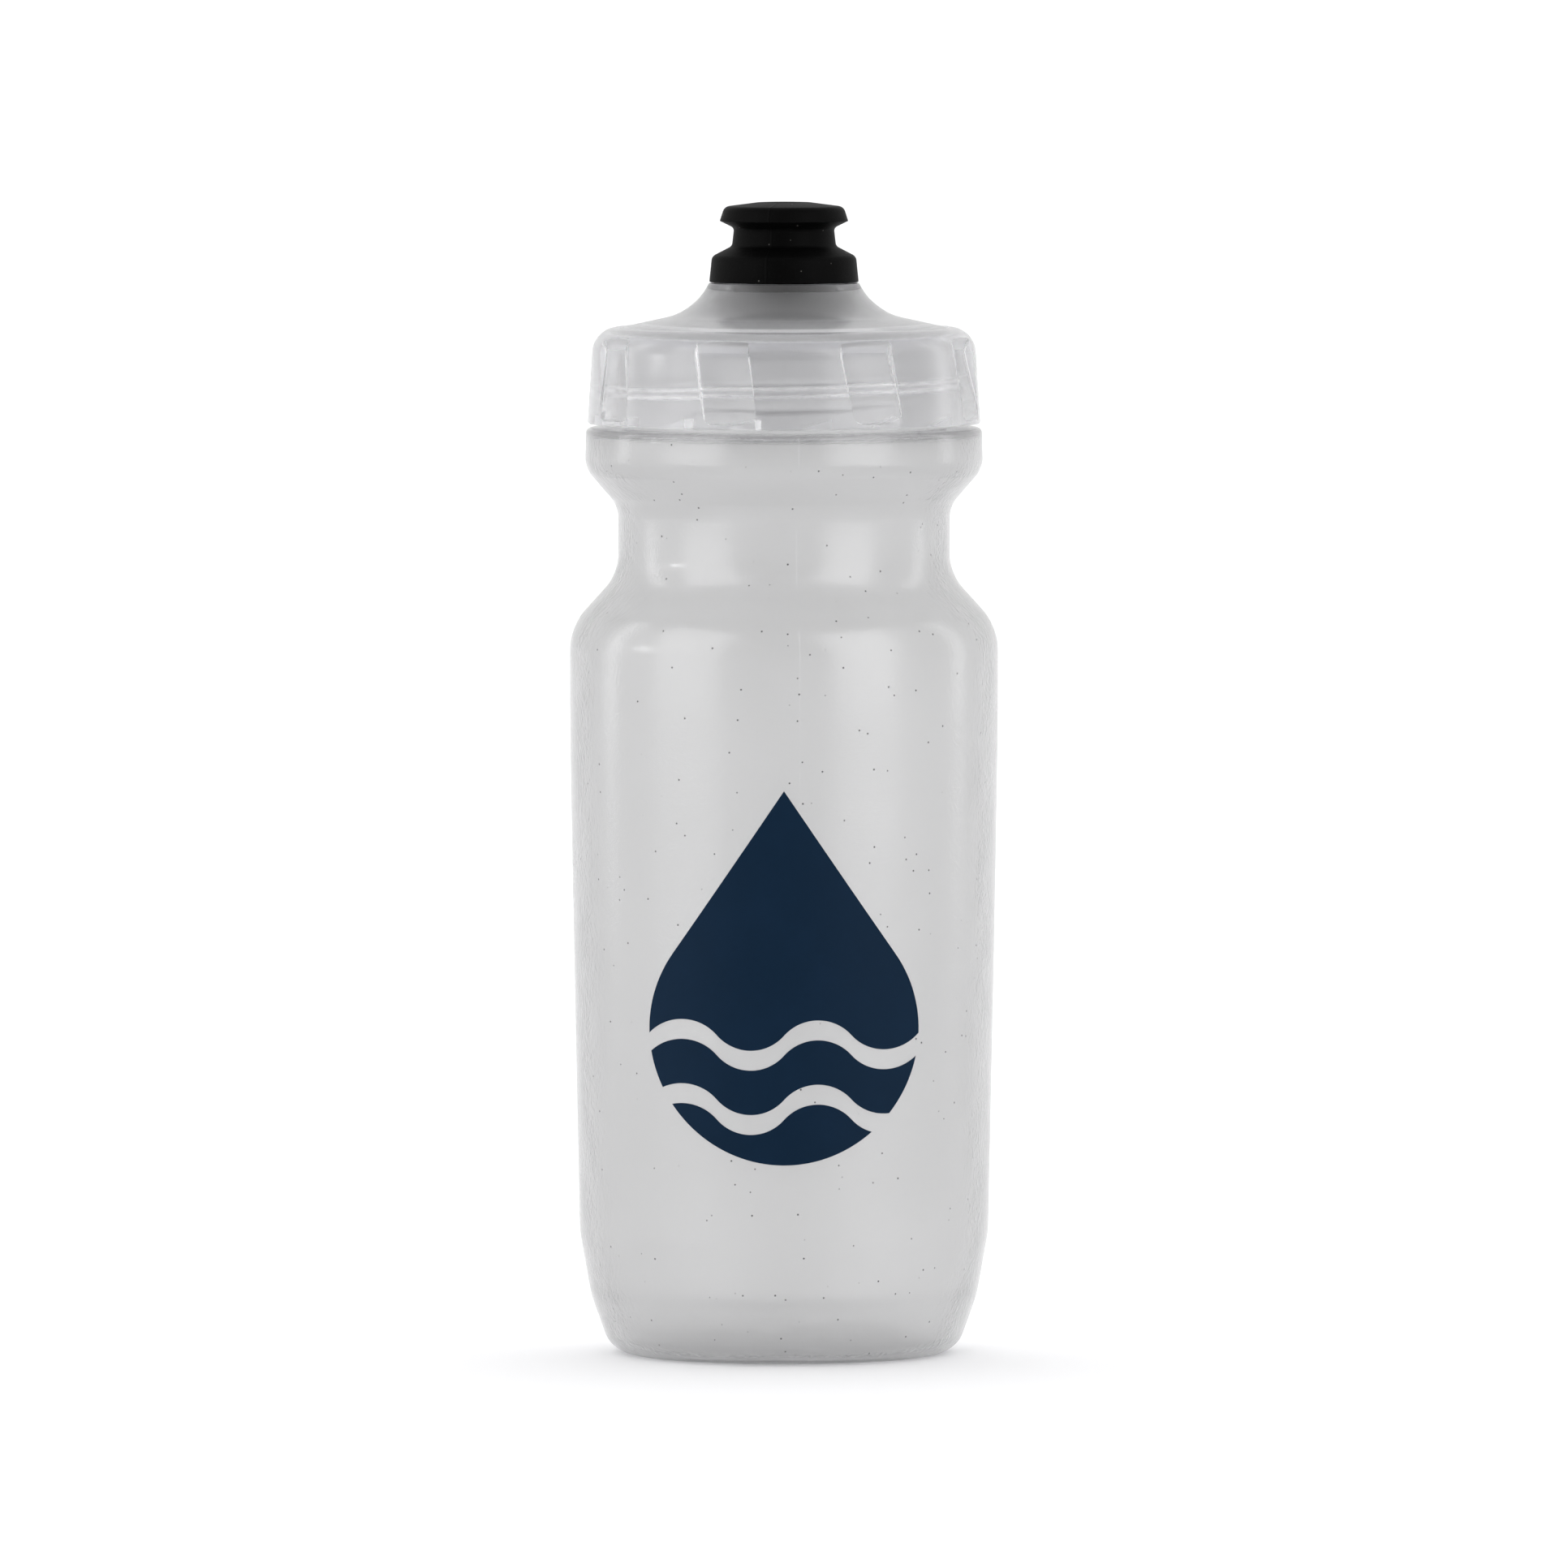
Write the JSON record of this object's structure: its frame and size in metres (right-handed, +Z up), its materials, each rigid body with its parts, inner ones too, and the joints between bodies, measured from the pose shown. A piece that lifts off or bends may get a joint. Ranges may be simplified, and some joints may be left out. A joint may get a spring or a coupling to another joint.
{
  "type": "bicycle water bottle",
  "caption": "Translucent squeeze bottle with a finger waist, a clear screw cap and a black push-pull nozzle that opens and closes the drinking hole.",
  "frame": {"origin": "on the floor, at the centre of the ring that the bottle stands on", "axes": "+Z up along the bottle's axis, towards the nozzle; -Y is the printed front; +X is to the right of someone who faces the front"},
  "size_m": [0.0736, 0.0736, 0.1981],
  "materials": {
    "bottle_ldpe": "milky low-density polyethylene, satin with a fine moulded grain",
    "print_ink": "navy screen-printing ink, satin",
    "clear_cap": "frosted clear polypropylene, semi-gloss",
    "clear_silicone": "milky clear silicone",
    "black_insert": "black polypropylene, satin",
    "black_core": "black polypropylene, satin",
    "black_rubber": "soft black moulded elastomer, dull with a faint sheen"
  },
  "bodies": {
    "bottle": {"squeeze_bottle": "bottle_ldpe", "graphic_print": "print_ink"},
    "seal": {"cap_gasket": "clear_silicone"},
    "cap": {"screw_cap": "clear_cap", "plug_insert": "black_insert", "valve_membrane": "clear_silicone", "valve_retainer": "black_insert"},
    "nozzle": {"nozzle_core": "black_core", "nozzle_grip": "black_rubber"}
  },
  "joints": [
    {"name": "cap_lift", "type": "slide", "parent": "bottle", "child": "seal", "axis": [0, 0, 1], "range_m": [0, 0.0147]},
    {"name": "cap_turn", "type": "hinge", "parent": "seal", "child": "cap", "pos_m": [0, 0, 0.17], "axis": [0, 0, 1], "range_deg": [0, 1260]},
    {"name": "nozzle_pull", "type": "slide", "parent": "cap", "child": "nozzle", "axis": [0, 0, 1], "range_m": [0, 0.0063]}
  ],
  "couplings": [
    {"joint": "cap_lift", "follows": "cap_turn", "m_per_rad": 0.00066845}
  ]
}
